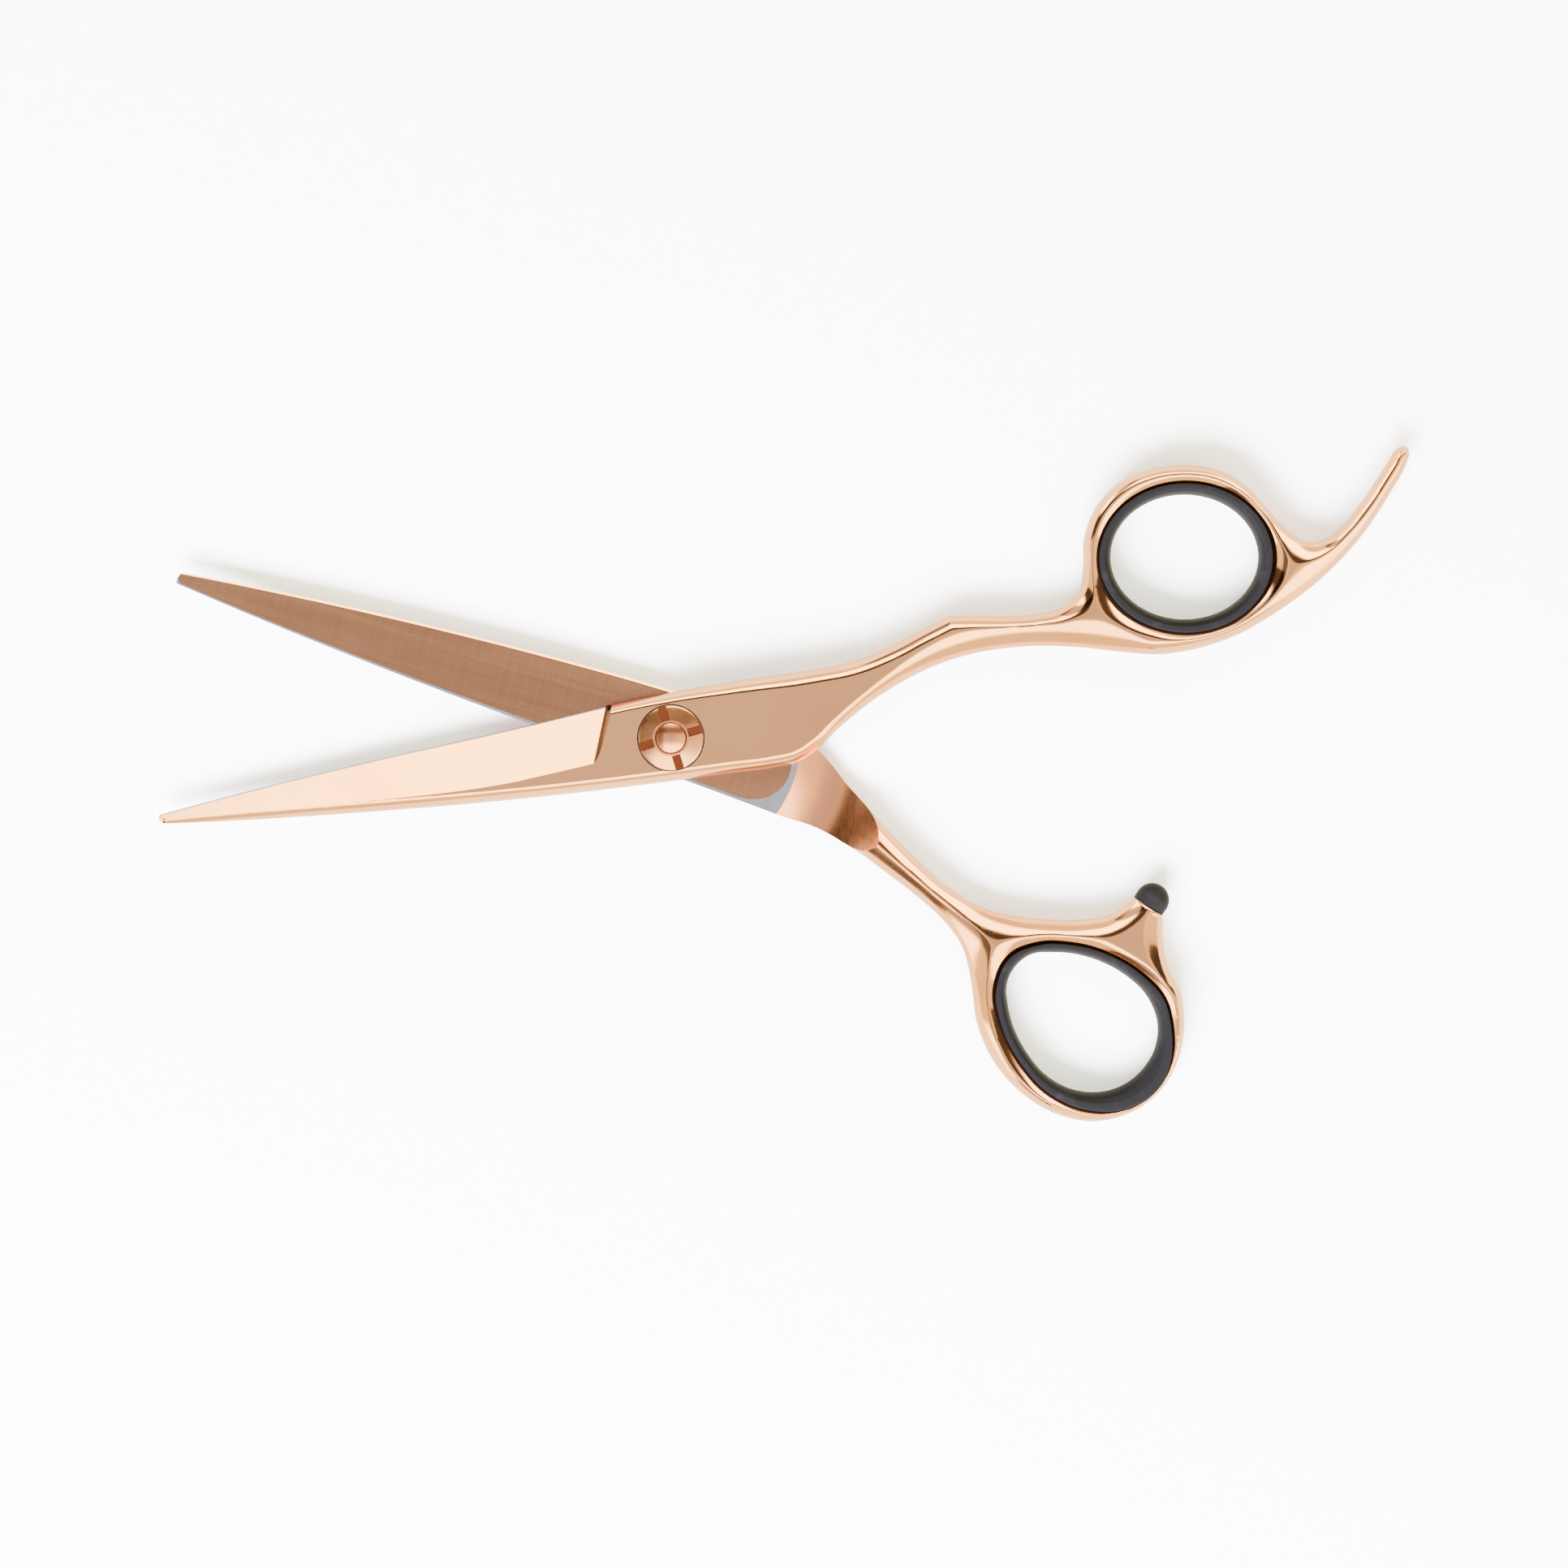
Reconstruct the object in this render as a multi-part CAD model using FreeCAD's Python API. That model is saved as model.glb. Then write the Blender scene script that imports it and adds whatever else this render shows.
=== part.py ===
import FreeCAD, Part
import math
import os

from FreeCAD import Vector

# Hair cutting shears, lying flat and part open.
# Frame: millimetres, +Z up, origin on the pivot axis at the table plane.
# The blade tips point along -X and the finger rings along +X.
# The finger half (upper layer) carries the finger rest; the thumb half (lower layer) carries the bumper.

# ---- driving dimensions -------------------------------------------------------------------------
THICKNESS = 6.0            # both blades together, and the height of the handles
RIDE_Z = THICKNESS / 2     # plane in which the two blades slide on each other
RIDE_GAP = 0.03            # each blade stays this far off the ride plane
EDGE_LAND = 0.15           # height of the square land left at the cutting edge
CHAMFER = 0.6              # on the forged outline, top and bottom

WELD_X = 22.5              # the blades are welded to the handles in this plane
CROTCH_R = 26.9            # from here outwards a handle has its full height
MOON_R = 17.2              # outer radius of the ride area round the pivot
SCOOP_R = 12.0             # radius of the turned hollow between ride area and handle

POST_R = 2.0               # pivot post
HEAD_R, HEAD_H = 4.25, 0.8
KEY_R, KEY_FLAT, KEY_TOP = 2.9, 2.2, 2.45
WASHER_R, WASHER_H = 4.0, 0.5
BORE_FLOOR = 4.0           # floor of the counterbore in the finger blade
BORE_R = 4.4               # its radius
BUSH_R = 2.8
RUN_CLEAR = 0.05           # radial running clearance round the post
BORE_RIM = 0.5             # chamfer round the mouth of the counterbore, cut 0.2 deep
BORE_RIM_DEPTH = 0.2
RACE_H = 0.15
RACE_BORE_R = 2.9          # the lower race stands clear of the bush
UPPER_RACE_R = 4.2         # the parts that turn with the post clear the counterbore
BALL_R, BALL_PITCH_R, BALL_COUNT = 0.35, 3.3, 12
BALL_CLEAR = 0.005         # between a ball and its races
CAGE_BORE_R, CAGE_R, CAGE_H = 2.45, 4.2, 0.4
POCKET_CLEAR = 0.05
SPRING_R, SPRING_H = 4.1, 0.2
LEAF_COUNT, LEAF_ROOT_R, LEAF_GAP = 8, 2.9, 0.5
NUT_EDGE = 0.12            # chamfer of the nut's rim
NUT_BORE_EDGE, NUT_BORE_DROP = 0.25, 0.1
NUT_R, NUT_BASE, NUT_RIM, NUT_HUB = 4.3, 5.3, 6.12, 6.55
NUT_SLOT_W, NUT_SLOT_FLOOR, NUT_SLOT_R, NUT_SLOT_TURN = 1.15, 5.65, 2.4, 16.5
POST_TOP, DOME_H = 6.6, 0.25

INSERT_H = 5.2             # height of the rubber ring inserts
RIB_H = 1.8                # height of the rib in the metal ring that the insert grips
FLANGE = 0.6               # how far an insert's flanges lap over the rib
THUMB_HOLE_R = 11.3        # mean radius of the thumb hole
SEAT_CLEAR = 0.02

BUMPER_R = 2.25
BUMPER_BASE = (63.35, -22.2)   # middle of the bumper's seat on the thumb ring
BUMPER_TURN = 56.7             # direction in which the bumper points, degrees from +X
BUMPER_RISE = 0.9              # centre of the ball above the seat
STEM_R, STEM_L = 1.0, 3.0

# ---- outlines, in the open position that the shears lie in --------------------------------------
FINGER_TIP = [(-68.05, -10.1), (-67.95, -10.9), (-67.4, -11.45)]
FINGER_EDGE = [(-8.7, 4.3), (-22.0, 1.1), (-38.0, -2.5), (-54.9, -6.6), (-68.05, -10.1)]
FINGER_SPINE = [
    (-67.4, -11.45), (-56.5, -10.9), (-42.0, -9.95), (-24.8, -8.55), (-9.7, -6.95),
    (1.0, -5.6), (8.0, -4.65), (13.5, -3.95), (17.0, -3.1), (19.6, -1.4), (22.5, 1.4),
    (26.8, 5.0), (31.2, 7.75), (35.5, 9.8), (39.8, 11.15), (44.1, 11.9), (49.0, 12.25),
    (54.8, 12.0), (60.2, 11.4), (64.5, 11.1), (69.9, 11.9), (74.2, 13.3), (80.6, 16.85),
    (87.1, 21.9), (92.0, 27.3), (95.3, 32.3), (97.65, 36.6),
]
FINGER_REST_AND_RING = [
    (97.97, 37.65), (97.78, 38.5), (96.97, 38.85), (96.23, 38.4), (95.05, 36.6), (93.35, 33.95),
    (91.3, 30.95), (88.9, 28.1), (86.65, 26.4), (84.8, 26.05), (83.2, 26.6), (81.7, 27.7), (79.0, 30.6),
    (75.9, 33.8), (72.0, 35.8), (67.7, 36.3), (63.4, 35.7), (59.3, 33.8), (56.3, 30.6),
    (54.75, 26.5), (54.6, 22.5), (54.0, 19.3), (51.6, 17.3), (48.4, 16.5), (44.1, 16.25),
    (39.8, 16.3), (36.9, 16.25),
]
FINGER_SHANK_TOP = [
    (36.9, 16.25), (33.3, 14.45), (29.0, 12.2), (24.7, 10.45), (18.2, 9.1), (9.6, 7.8),
    (0.3, 6.2), (-8.7, 4.3),
]

THUMB_TIP = [(-65.8, 20.5), (-65.6, 21.3), (-64.9, 22.1)]
THUMB_EDGE = [(-8.7, -1.75), (-20.5, 2.45), (-37.7, 8.95), (-54.9, 15.85), (-65.8, 20.5)]
THUMB_SPINE = [
    (-64.9, 22.1), (-50.6, 19.2), (-33.4, 15.3), (-16.2, 10.95), (-1.1, 6.7), (6.5, 4.3),
    (13.5, 1.5), (19.0, -1.0), (21.4, -3.3), (23.9, -6.6), (26.6, -9.8), (29.5, -13.0),
    (32.7, -16.2), (36.4, -19.5), (41.0, -22.35), (45.5, -23.6), (50.5, -24.05),
    (55.0, -24.0), (58.6, -23.2), (61.45, -20.95),
]
THUMB_BOSS = [(61.45, -20.95), (65.25, -23.45)]
THUMB_RING_AND_SHANK = [
    (65.25, -23.45), (65.2, -26.5), (66.0, -30.4), (67.7, -34.0), (68.1, -38.0),
    (67.5, -42.1), (66.05, -45.3), (63.2, -48.4), (60.0, -50.1), (56.5, -50.85),
    (50.5, -49.65), (46.2, -46.9), (43.3, -43.7), (41.5, -40.5), (40.4, -37.2),
    (40.0, -34.0), (39.5, -30.8), (38.5, -27.5), (36.2, -24.3), (32.7, -21.1),
    (28.5, -17.85), (24.1, -14.65), (19.5, -12.2), (13.9, -10.1), (7.5, -7.7), (0.0, -4.95),
    (-8.7, -1.75),
]

# Rubber inserts: the outline of their flanges and of the hole left for the finger.
FINGER_HOLE = {"centre": (68.2, 23.85), "semi": (11.5, 9.9)}
FINGER_GRIP = {"centre": (68.1, 24.05), "semi": (9.8, 8.25)}
THUMB_HOLE = [
    (66.3, -38.5), (65.3, -34.6), (62.3, -31.3), (58.0, -28.7), (53.3, -27.4), (48.7, -27.4),
    (44.9, -29.1), (43.1, -33.0), (43.9, -38.5), (46.2, -42.9), (49.7, -46.8), (54.8, -49.2),
    (60.0, -49.2), (64.3, -46.8), (66.2, -42.8),
]
THUMB_HOLE_CENTRE = (54.8, -38.3)
THUMB_GRIP = [
    (64.5, -37.8), (63.0, -34.1), (60.0, -31.3), (56.0, -29.3), (51.5, -28.45), (47.2, -29.0),
    (44.8, -31.8), (44.9, -36.5), (47.0, -41.4), (50.0, -44.9), (53.9, -46.75), (58.5, -46.6),
    (62.3, -44.2), (64.2, -41.0),
]

# Grind of the blades: the bevel's width across, from the cutting edge to the flat.
BEVEL_TIP, BEVEL_HEEL = 5.2, 7.9
FINGER_PLUNGE = ((-8.7, 4.5), (-10.4, -4.2))    # line in which the grind ends, edge to spine
THUMB_PLUNGE = ((-8.7, -2.0), (-7.8, 6.2))


# ---- small helpers ------------------------------------------------------------------------------
def arc(start, heading, end):
    """Circular arc that leaves start along heading, or a line if it would be nearly straight."""
    chord = end - start
    turn = math.atan2(chord.x * heading.y - chord.y * heading.x, chord.dot(heading))
    if abs(turn) < 0.002:
        return Part.makeLine(start, end)
    left = Vector(-chord.y, chord.x, 0)
    return Part.Arc(start, (start + end) / 2 + left * (math.tan(turn / 2) / 2), end).toShape()


def headings(points, closed):
    """Unit tangent at every point, from the circle through it and its two neighbours."""
    count = len(points)
    found = []
    for i, here in enumerate(points):
        if closed or 0 < i < count - 1:
            before, after = here - points[i - 1], points[(i + 1) % count] - here
            back, ahead = before / before.dot(before), after / after.dot(after)
            found.append((back + ahead).normalize())
        else:
            found.append(None)
    if not closed:
        for end, inner in ((0, 1), (count - 1, count - 2)):
            chord = (points[inner] - points[end]).normalize()
            known = found[inner] or chord
            found[end] = chord * (2 * chord.dot(known)) - known
    return found


def curve(points, closed=False):
    """Smooth chain of arcs through points in the plane z = 0, two arcs from each point to the next."""
    points = [Vector(x, y, 0) for x, y in points]
    ways = headings(points, closed)
    edges = []
    for i in range(len(points) if closed else len(points) - 1):
        j = (i + 1) % len(points)
        span, spread = points[j] - points[i], 2 * (1 - ways[i].dot(ways[j]))
        along = span.dot(ways[i] + ways[j])
        if spread < 1e-6:
            reach = span.dot(span) / (2 * along)
        else:
            reach = (math.sqrt(along ** 2 + spread * span.dot(span)) - along) / spread
        middle = (points[i] + points[j] + (ways[i] - ways[j]) * reach) / 2
        edges.append(arc(points[i], ways[i], middle))
        chord = (points[j] - middle).normalize()
        edges.append(arc(middle, chord * (2 * chord.dot(ways[j])) - ways[j], points[j]))
    return edges


def loop(points):
    """Smooth closed outline through points."""
    return Part.Wire(curve(points, closed=True))


def ellipse(centre, semi, grow=0.0):
    middle = Vector(centre[0], centre[1], 0)
    oval = Part.Ellipse(middle, semi[0] + grow, semi[1] + grow)
    return Part.Wire(oval.toShape())


def scaled(points, centre, factor):
    return [(centre[0] + (x - centre[0]) * factor, centre[1] + (y - centre[1]) * factor) for x, y in points]


def prism(wire, low, high):
    face = Part.Face(wire)
    face.translate(Vector(0, 0, low))
    return face.extrude(Vector(0, 0, high - low))


def disc(radius, low, high, at=(0.0, 0.0)):
    return Part.makeCylinder(radius, high - low, Vector(at[0], at[1], low))


def ring(inner, outer, low, high):
    return disc(outer, low, high).cut(disc(inner, low, high))


def slab(x0, x1, z0, z1, half_width=80.0):
    return Part.makeBox(x1 - x0, 2 * half_width, z1 - z0, Vector(x0, -half_width, z0))


def solid_of(shape):
    """The largest solid of a shape, cleaned of split faces."""
    return max(shape.removeSplitter().Solids, key=lambda s: s.Volume)


def lies_over(edge, flat):
    """Whether an edge is a copy of a flat one at another height."""
    shift = edge.CenterOfMass - flat.CenterOfMass
    return math.hypot(shift.x, shift.y) < 1e-4


# ---- the two halves -----------------------------------------------------------------------------
def blank(outline):
    """Forging: the outline at full height, chamfered top and bottom but for its cutting edge and tip."""
    body = prism(Part.Wire(sum(outline, [])), 0, THICKNESS)
    plain = outline[0] + outline[-1]
    rims = [
        e for e in body.Edges
        if e.BoundBox.ZLength < 1e-6 and not any(lies_over(e, p) for p in plain)
    ]
    return body.makeChamfer(CHAMFER, rims)


def other_side(side):
    """What to remove from a half so that the other half can turn: side is +1 for the upper half."""
    floor = RIDE_Z + side * RIDE_GAP
    far = -5.0 if side > 0 else THICKNESS + 5.0
    low, high = min(floor, far), max(floor, far)
    reach = math.sqrt(SCOOP_R ** 2 - ((CROTCH_R - MOON_R) / 2) ** 2)
    middle = (CROTCH_R + MOON_R) / 2
    scoop = Part.makeTorus(middle, SCOOP_R, Vector(0, 0, floor - side * reach), Vector(0, 0, 1))
    scoop = scoop.common(slab(8.0, 40.0, -30.0, 36.0))
    blades = slab(-80.0, 0.0, low, high)
    return disc(middle, low, high).fuse(blades).fuse(scoop)


def bevel(edge, plunge, side):
    """Wedge that grinds the blade's outer face down to its cutting edge."""
    lean = 1 if edge[0][1] > edge[-1][1] else -1      # +1 where the edge lies on the +Y side
    root = RIDE_Z + side * (RIDE_GAP + EDGE_LAND)
    top = RIDE_Z + side * THICKNESS / 2
    heel_x, tip_x = edge[0][0], edge[-1][0]
    slope_heel = (edge[0][1] - edge[1][1]) / (edge[0][0] - edge[1][0])
    slope_tip = (edge[-1][1] - edge[-2][1]) / (edge[-1][0] - edge[-2][0])
    beyond = 6.0
    stations = [(heel_x + beyond, edge[0][1] + slope_heel * beyond, BEVEL_HEEL)]
    for x, y in edge:
        share = (x - tip_x) / (heel_x - tip_x)
        stations.append((x, y, BEVEL_TIP + (BEVEL_HEEL - BEVEL_TIP) * share))
    stations.append((tip_x - beyond, edge[-1][1] - slope_tip * beyond, BEVEL_TIP))
    wires = []
    for x, y, width in stations:
        rise = (top - root) / width
        corners = [
            Vector(x, y + lean * 2.0, root - rise * 2.0),
            Vector(x, y - lean * width * 1.6, root + rise * width * 1.6),
            Vector(x, y + lean * 2.0, root + rise * width * 1.6),
        ]
        wires.append(Part.makePolygon(corners + corners[:1]))
    wedge = Part.makeLoft(wires, True, True)
    (x0, y0), (x1, y1) = plunge
    along = Vector(x1 - x0, y1 - y0, 0).normalize()
    start = Vector(x0, y0, -20) - along * 20
    across = Vector(0, 0, 1).cross(along)
    if across.x < 0:
        across = across * -1
    keep_out = Part.Face(Part.makePolygon([
        start, start + along * 50, start + along * 50 + across * 30, start + across * 30, start,
    ])).extrude(Vector(0, 0, 60))
    return wedge.cut(keep_out)


def ring_opening(flange_wire, rib_wire):
    """Hole of a finger ring: a rib at mid height, with a seat for the insert's flange on each side."""
    rib_low, rib_high = RIDE_Z - RIB_H / 2, RIDE_Z + RIB_H / 2
    return (
        prism(rib_wire, -1, THICKNESS + 1)
        .fuse(prism(flange_wire, -1, rib_low))
        .fuse(prism(flange_wire, rib_high, THICKNESS + 1))
    )


def insert(flange_wire, rib_wire, grip_wire):
    """Rubber insert that grips the rib between two flanges."""
    low, high = RIDE_Z - INSERT_H / 2, RIDE_Z + INSERT_H / 2
    rib_low, rib_high = RIDE_Z - RIB_H / 2, RIDE_Z + RIB_H / 2
    body = (
        prism(rib_wire, rib_low, rib_high)
        .fuse(prism(flange_wire, low, rib_low))
        .fuse(prism(flange_wire, rib_high, high))
    )
    return solid_of(body.cut(prism(grip_wire, -1, THICKNESS + 1)))


def split_at_weld(half):
    blade = solid_of(half.common(slab(-80.0, WELD_X, -5.0, THICKNESS + 5.0)))
    handle = solid_of(half.common(slab(WELD_X, 120.0, -5.0, THICKNESS + 5.0)))
    return blade, handle


def finger_rings():
    flange = ellipse(FINGER_HOLE["centre"], FINGER_HOLE["semi"])
    rib = ellipse(FINGER_HOLE["centre"], FINGER_HOLE["semi"], -FLANGE)
    return flange, rib


def thumb_rings():
    flange = loop(THUMB_HOLE)
    rib = loop(scaled(THUMB_HOLE, THUMB_HOLE_CENTRE, 1 - FLANGE / THUMB_HOLE_R))
    return flange, rib


def finger_half():
    outline = [
        curve(FINGER_TIP), curve(FINGER_SPINE + FINGER_REST_AND_RING),
        curve(FINGER_SHANK_TOP), curve(FINGER_EDGE),
    ]
    half = blank(outline).cut(other_side(+1)).cut(bevel(FINGER_EDGE, FINGER_PLUNGE, +1))
    half = half.cut(ring_opening(*finger_rings()))
    seat = disc(BORE_R, BORE_FLOOR, THICKNESS + 1)
    rim = Part.makeCone(BORE_R, BORE_R + BORE_RIM, BORE_RIM, Vector(0, 0, THICKNESS - BORE_RIM_DEPTH))
    half = half.cut(seat).cut(rim).cut(disc(BUSH_R, 0, BORE_FLOOR + 0.5))
    return split_at_weld(half)


def thumb_half():
    outline = [
        curve(THUMB_TIP), curve(THUMB_SPINE), curve(THUMB_BOSS),
        curve(THUMB_RING_AND_SHANK), curve(THUMB_EDGE),
    ]
    half = blank(outline).cut(other_side(-1)).cut(bevel(THUMB_EDGE, THUMB_PLUNGE, -1))
    half = half.cut(ring_opening(*thumb_rings()))
    half = half.cut(disc(HEAD_R + SEAT_CLEAR, -1, HEAD_H + SEAT_CLEAR))
    half = half.cut(key_section(0, KEY_TOP + RUN_CLEAR, SEAT_CLEAR))
    half = half.cut(disc(WASHER_R + RUN_CLEAR, KEY_TOP + RUN_CLEAR, THICKNESS))
    half = half.cut(bumper_shape(STEM_R, -STEM_L, 0.0))
    return split_at_weld(half)


# ---- pivot --------------------------------------------------------------------------------------
def key_section(low, high, grow=0.0):
    """Round stud with two flats, which stops the post turning in the thumb blade."""
    flats = Part.makeBox(20, 2 * (KEY_FLAT + grow), high - low, Vector(-10, -KEY_FLAT - grow, low))
    return disc(KEY_R + grow, low, high).common(flats)


def pivot_post():
    sphere_r = (POST_R ** 2 + DOME_H ** 2) / (2 * DOME_H)
    dome = Part.makeSphere(sphere_r, Vector(0, 0, POST_TOP + DOME_H - sphere_r))
    shank = disc(POST_R, KEY_TOP - 0.2, POST_TOP + DOME_H).common(dome.fuse(disc(POST_R + 1, 0, POST_TOP)))
    return solid_of(disc(HEAD_R, 0, HEAD_H).fuse(key_section(HEAD_H - 0.2, KEY_TOP)).fuse(shank))


def tension_nut():
    bore = POST_R + RUN_CLEAR
    profile = [
        (bore, NUT_BASE), (NUT_R - NUT_EDGE, NUT_BASE), (NUT_R, NUT_BASE + NUT_EDGE),
        (NUT_R, NUT_RIM - NUT_EDGE), (NUT_R - NUT_EDGE, NUT_RIM), (bore + NUT_BORE_EDGE, NUT_HUB),
        (bore, NUT_HUB - NUT_BORE_DROP),
    ]
    points = [Vector(r, 0, z) for r, z in profile]
    body = Part.Face(Part.makePolygon(points + points[:1])).revolve(Vector(0, 0, 0), Vector(0, 0, 1), 360)
    for quarter in range(4):
        slot = Part.makeBox(
            NUT_R, NUT_SLOT_W, 2.0, Vector(NUT_SLOT_R, -NUT_SLOT_W / 2, NUT_SLOT_FLOOR)
        )
        slot.rotate(Vector(0, 0, 0), Vector(0, 0, 1), NUT_SLOT_TURN + 90 * quarter)
        body = body.cut(slot)
    return solid_of(body)


def bearing_balls():
    height = BORE_FLOOR + RACE_H + BALL_R
    balls = []
    for i in range(BALL_COUNT):
        turn = 2 * math.pi * i / BALL_COUNT
        at = Vector(BALL_PITCH_R * math.cos(turn), BALL_PITCH_R * math.sin(turn), height)
        balls.append(Part.makeSphere(BALL_R - BALL_CLEAR, at))
    return Part.makeCompound(balls)


def bearing_cage():
    height = BORE_FLOOR + RACE_H + BALL_R
    cage = ring(CAGE_BORE_R, CAGE_R, height - CAGE_H / 2, height + CAGE_H / 2)
    for i in range(BALL_COUNT):
        turn = 2 * math.pi * i / BALL_COUNT
        at = (BALL_PITCH_R * math.cos(turn), BALL_PITCH_R * math.sin(turn))
        pocket = disc(BALL_R + POCKET_CLEAR, 0, THICKNESS + 2, at)
        cage = cage.cut(pocket)
    return solid_of(cage)


def click_spring(low):
    """Thin spring plate with leaves round a ring that is keyed to the post."""
    plate = ring(POST_R + RUN_CLEAR, SPRING_R, low, low + SPRING_H)
    for i in range(LEAF_COUNT):
        gap = Part.makeBox(SPRING_R, LEAF_GAP, 1.0, Vector(LEAF_ROOT_R, -LEAF_GAP / 2, low - SPRING_H))
        gap.rotate(Vector(0, 0, 0), Vector(0, 0, 1), 360 / LEAF_COUNT * (i + 0.5))
        plate = plate.cut(gap)
    return solid_of(plate)


# ---- bumper -------------------------------------------------------------------------------------
def bumper_shape(radius, start, end):
    """Cylinder on the bumper's axis between two distances from its seat."""
    way = Vector(math.cos(math.radians(BUMPER_TURN)), math.sin(math.radians(BUMPER_TURN)), 0)
    base = Vector(BUMPER_BASE[0], BUMPER_BASE[1], RIDE_Z)
    return Part.makeCylinder(radius, end - start, base + way * start, way)


def bumper():
    way = Vector(math.cos(math.radians(BUMPER_TURN)), math.sin(math.radians(BUMPER_TURN)), 0)
    centre = Vector(BUMPER_BASE[0], BUMPER_BASE[1], RIDE_Z) + way * BUMPER_RISE
    body = bumper_shape(BUMPER_R, SEAT_CLEAR, BUMPER_RISE).fuse(
        Part.makeSphere(BUMPER_R, centre).common(bumper_shape(BUMPER_R + 1, BUMPER_RISE, BUMPER_RISE + 5))
    )
    return solid_of(body.fuse(bumper_shape(STEM_R, -STEM_L, 0.5)))


# ---- assembly -----------------------------------------------------------------------------------
def build():
    finger_blade, finger_handle = finger_half()
    thumb_blade, thumb_handle = thumb_half()
    race_low = BORE_FLOOR
    race_high = BORE_FLOOR + RACE_H + 2 * BALL_R
    nodes = {
        "finger_blade": finger_blade,
        "finger_handle": finger_handle,
        "finger_insert": insert(*finger_rings(), ellipse(FINGER_GRIP["centre"], FINGER_GRIP["semi"])),
        "thumb_blade": thumb_blade,
        "thumb_handle": thumb_handle,
        "thumb_insert": insert(*thumb_rings(), loop(THUMB_GRIP)),
        "bumper": bumper(),
        "pivot_post": pivot_post(),
        "pivot_bush": ring(POST_R + RUN_CLEAR, BUSH_R, RIDE_Z + RIDE_GAP, BORE_FLOOR),
        "ride_washer": ring(
            POST_R + RUN_CLEAR, WASHER_R, KEY_TOP + RUN_CLEAR, KEY_TOP + RUN_CLEAR + WASHER_H
        ),
        "lower_race": ring(RACE_BORE_R, BORE_R, race_low, race_low + RACE_H),
        "bearing_cage": bearing_cage(),
        "bearing_balls": bearing_balls(),
        "upper_race": ring(POST_R + RUN_CLEAR, UPPER_RACE_R, race_high, race_high + RACE_H),
        "click_spring": click_spring(race_high + RACE_H),
        "tension_nut": tension_nut(),
    }
    return nodes


os.makedirs("parts", exist_ok=True)
for name, shape in build().items():
    shape.exportStep(f"parts/{name}.step")
    print(name, round(shape.Volume, 1), "mm3, valid", shape.isValid(), "solids", len(shape.Solids))
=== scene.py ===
import math

import bpy
import numpy as np
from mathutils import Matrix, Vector


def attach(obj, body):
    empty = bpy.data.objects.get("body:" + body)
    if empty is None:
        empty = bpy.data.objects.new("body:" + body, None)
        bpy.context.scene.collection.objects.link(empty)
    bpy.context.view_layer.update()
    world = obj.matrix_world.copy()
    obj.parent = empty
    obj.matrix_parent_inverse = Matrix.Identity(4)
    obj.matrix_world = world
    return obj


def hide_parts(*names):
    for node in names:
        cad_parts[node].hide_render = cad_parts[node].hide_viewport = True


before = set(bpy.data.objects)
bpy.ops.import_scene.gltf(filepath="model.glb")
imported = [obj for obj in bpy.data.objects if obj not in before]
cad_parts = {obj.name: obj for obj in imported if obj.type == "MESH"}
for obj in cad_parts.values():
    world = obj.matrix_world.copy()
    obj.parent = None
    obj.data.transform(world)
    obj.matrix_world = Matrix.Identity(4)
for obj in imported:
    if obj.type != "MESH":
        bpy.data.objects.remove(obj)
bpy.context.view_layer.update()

# Hair cutting shears. All shapes below are worked out in millimetres in the CAD frame
# (origin on the pivot axis at the table, +Z up) and written to the meshes in metres.

MM = 0.001
STEP = 0.2                 # grid spacing of the forged surfaces, and of the inserts' outlines
OUTLINE_STEP = 0.3         # spacing of the points on the forgings' outlines
RIDE_Z = 3.0               # plane between the two halves
HALF_H = 3.0               # half height of the forgings
RIDE_GAP = 0.03            # each half stays this far off that plane
MOON_R = 17.2              # outer radius of the ride area round the pivot
CROTCH_R = 26.9            # from here outwards a half has its full height
SCOOP_R = 12.0             # radius of the turned hollow between the two
SCOOP_DEPTH = 3.6          # how deep the hollow goes, past the outer faces
BLEND = 7.0                # how sharply two flanks of a forging meet
HOLE_TUCK = 0.5            # the metal runs on this far under the rubber inserts
BEYOND = 8.0               # cutters reach this far past the metal

# The grind of the blades.
GROUND_TO_X = -8.0         # they are ground from the tip to about here
GROUND_END_X = -9.0        # the cutting edge is followed up to here
FINGER_PLUNGE = ((-8.7, 4.3), (-10.4, -4.2))    # line in which the grind ends, edge to spine
THUMB_PLUNGE = ((-8.7, -2.0), (-7.8, 6.2))
PLUNGE_WALL = [(0.3, 0.12), (0.6, 0.5), (0.85, 1.2), (1.05, 3.6)]   # run and climb past the plunge line
BEVEL_ROOT = 0.16          # height of the edge, before honing, above the ride plane
BEVEL_RISE = (0.40, 0.37)  # slope of the bevels across the blade, at the tip and at the plunge
HONE_ROOT, HONE_RISE = -0.06, 1.1   # height and slope of the sharpened edge
EASE_RISE, EASE_DEPTH = 0.5, 0.24   # slope and depth of the eased corner along the spine
EASE_TO_X = 5.0            # it runs on past the plunge, under the other half
EASE_ON = 14.0
GRIND_REACH = 13.0         # the grind cutters are wider than a blade
TAPER, TAPER_FROM, TAPER_RUN = 2.4, -20.0, 47.0   # the spine thins out towards the tip
HOLLOW_DEPTH = 0.06        # depth of the hollow grind in the inner face

# Where the forgings swell into a rounded web: at the root of each ring, the bumper boss and the rest.
THUMB_WEB, THUMB_BOSS = (43.5, -27.2), (62.6, -26.6)
FINGER_WEB, FINGER_REST = (57.0, 16.2), (83.0, 23.5)

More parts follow.
